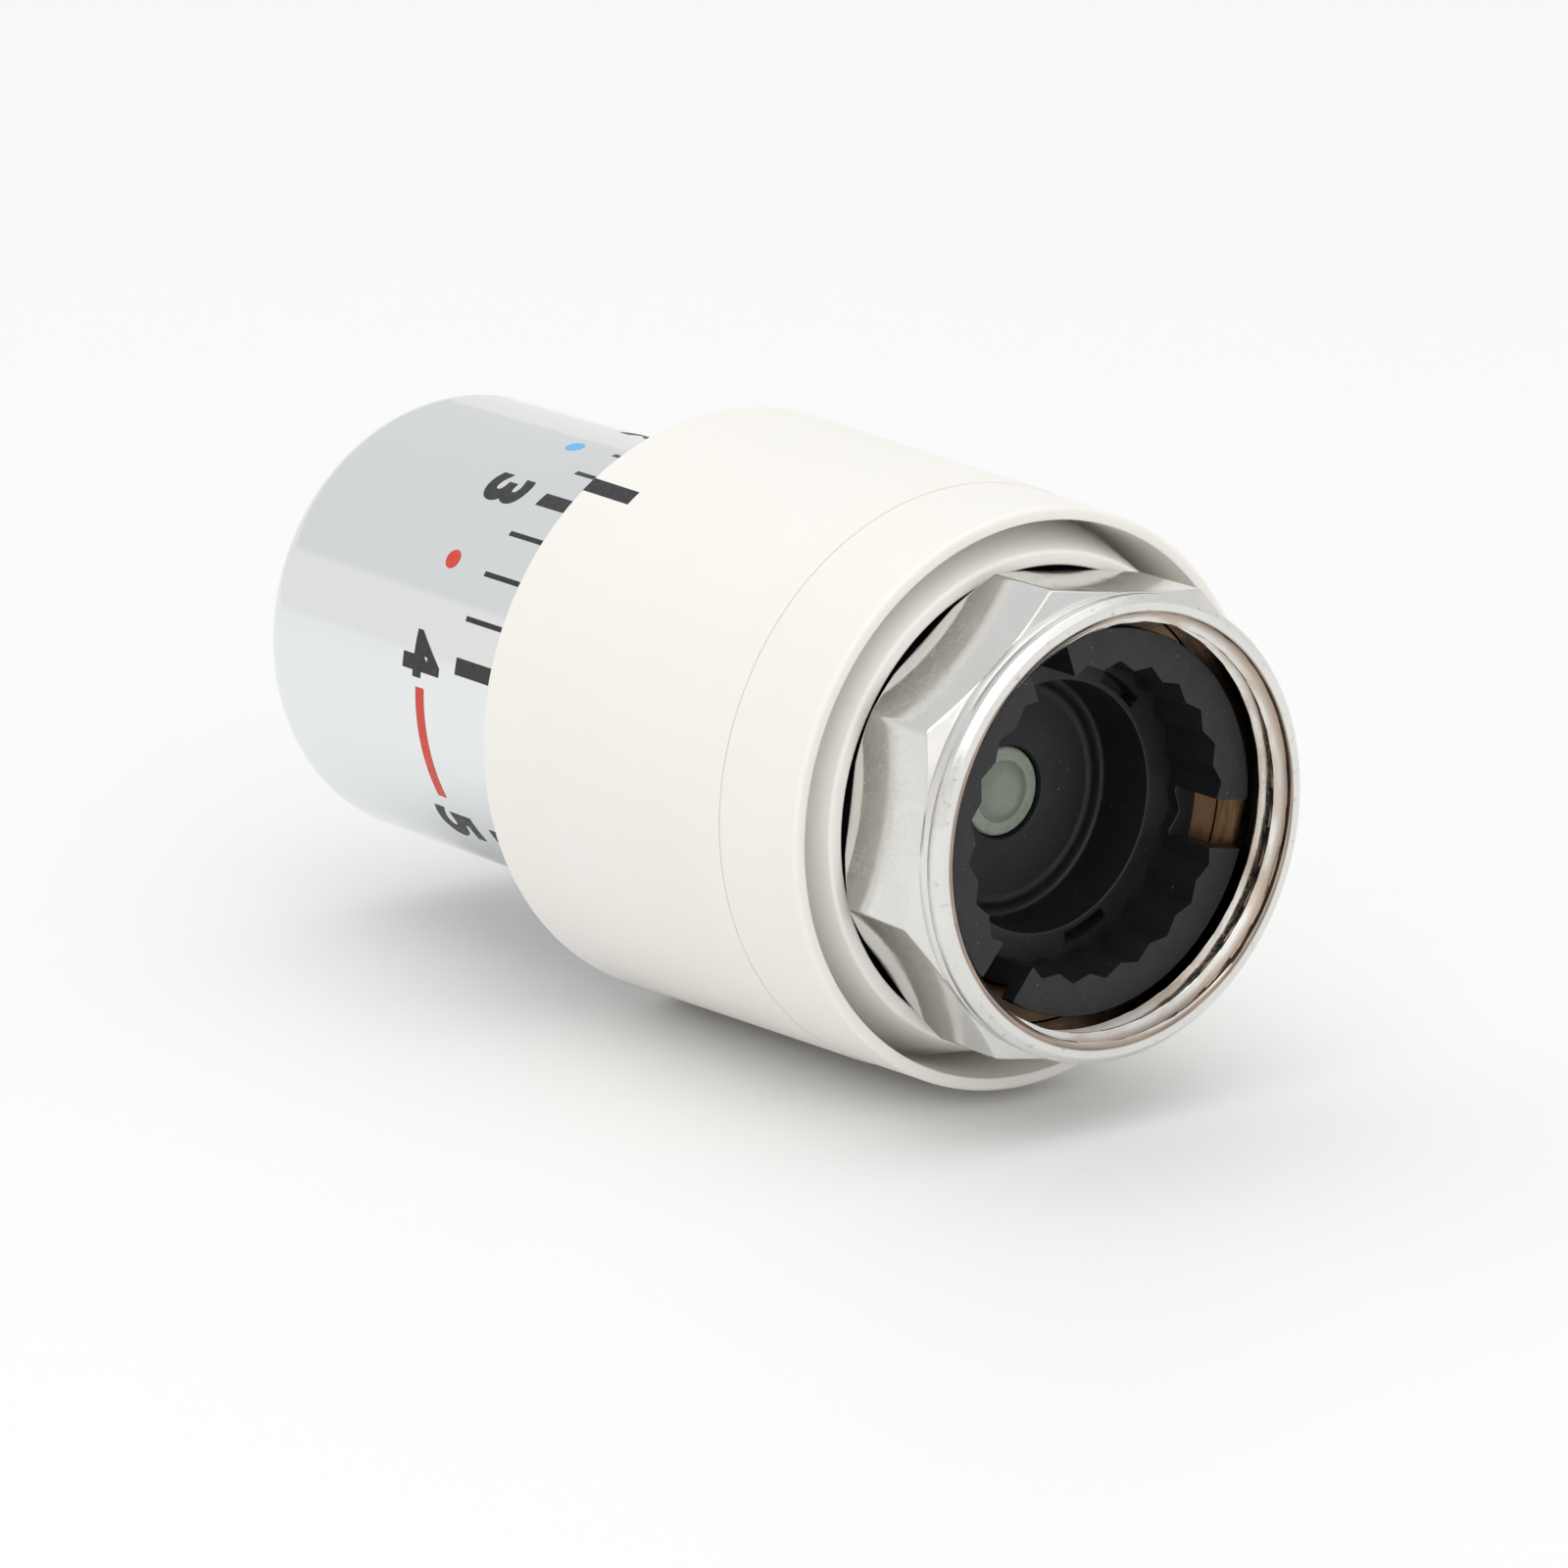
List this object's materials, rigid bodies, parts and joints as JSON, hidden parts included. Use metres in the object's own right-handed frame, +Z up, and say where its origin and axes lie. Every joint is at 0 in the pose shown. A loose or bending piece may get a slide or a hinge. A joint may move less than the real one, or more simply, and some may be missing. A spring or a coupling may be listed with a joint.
{
  "type": "thermostatic radiator head",
  "caption": "Slim thermostatic radiator head: chromed union nut, serrated valve socket, white sleeve with index mark and chromed hand wheel with a liquid sensor.",
  "frame": {"origin": "centre of the union nut's front face, on the axis of the head", "axes": "+X along the axis, out of the nut's mouth towards the valve; +Z up as the head lies, with the index mark on the upper side"},
  "size_m": [0.0785, 0.0424, 0.0424],
  "materials": {
    "chromed_nut": "chrome-plated brass, turned, lightly scratched",
    "chromed_plastic": "bright chrome-plated plastic",
    "white_plastic": "satin warm white moulded plastic",
    "black_plastic": "fine-grained black moulded plastic",
    "grey_plastic": "plain grey moulded plastic",
    "pin_plastic": "translucent greenish-white moulded plastic",
    "blue_plastic": "blue moulded plastic",
    "red_plastic": "red moulded plastic",
    "steel": "turned steel",
    "spring_steel": "drawn spring steel",
    "brass": "drawn brass",
    "copper": "pinched copper tube",
    "rubber": "moulded rubber"
  },
  "bodies": {
    "base": {"valve_socket": "black_plastic", "return_spring": "spring_steel", "base_core": "black_plastic", "sleeve_carrier": "white_plastic", "limit_ring": "grey_plastic", "min_limit_clip": "blue_plastic", "max_limit_clip": "red_plastic", "outer_sleeve": "white_plastic", "front_collar": "white_plastic", "inner_skirt": "white_plastic"},
    "slip_ring": {"slip_ring": "brass"},
    "union_nut": {"union_nut": "chromed_nut"},
    "sensor": {"sensor_can": "brass", "sensor_cap": "brass", "fill_stub": "copper", "bellows": "brass", "sensor_guide": "grey_plastic", "overload_cup": "grey_plastic", "overload_spring": "spring_steel", "thrust_plate": "steel"},
    "hand_wheel": {"hand_wheel": "chromed_plastic", "end_cap": "chromed_plastic", "wheel_insert": "grey_plastic", "friction_ring": "rubber", "wheel_snap_ring": "spring_steel"},
    "actuator": {"push_rod": "steel", "bellows_disc": "brass", "push_pin": "pin_plastic"}
  },
  "joints": [
    {"name": "nut_slide", "type": "slide", "parent": "base", "child": "slip_ring", "axis": [1, 0, 0], "range_m": [0, 0.00345]},
    {"name": "nut_turn", "type": "hinge", "parent": "slip_ring", "child": "union_nut", "pos_m": [0, 0, 0], "axis": [1, 0, 0], "continuous": true},
    {"name": "setting_travel", "type": "slide", "parent": "base", "child": "sensor", "axis": [-1, 0, 0], "range_m": [-0.0027, 0.00171], "deforming": ["return_spring"]},
    {"name": "setting_turn", "type": "hinge", "parent": "sensor", "child": "hand_wheel", "pos_m": [0, 0, 0], "axis": [-1, 0, 0], "range_deg": [-146.88, 93.12]},
    {"name": "thermal_stroke", "type": "slide", "parent": "sensor", "child": "actuator", "axis": [1, 0, 0], "range_m": [-0.0015, 0.0015], "stiffness_N_per_m": 4000, "deforming": ["bellows"]}
  ],
  "couplings": [
    {"joint": "setting_travel", "follows": "setting_turn", "m_per_rad": 0.0010504}
  ]
}
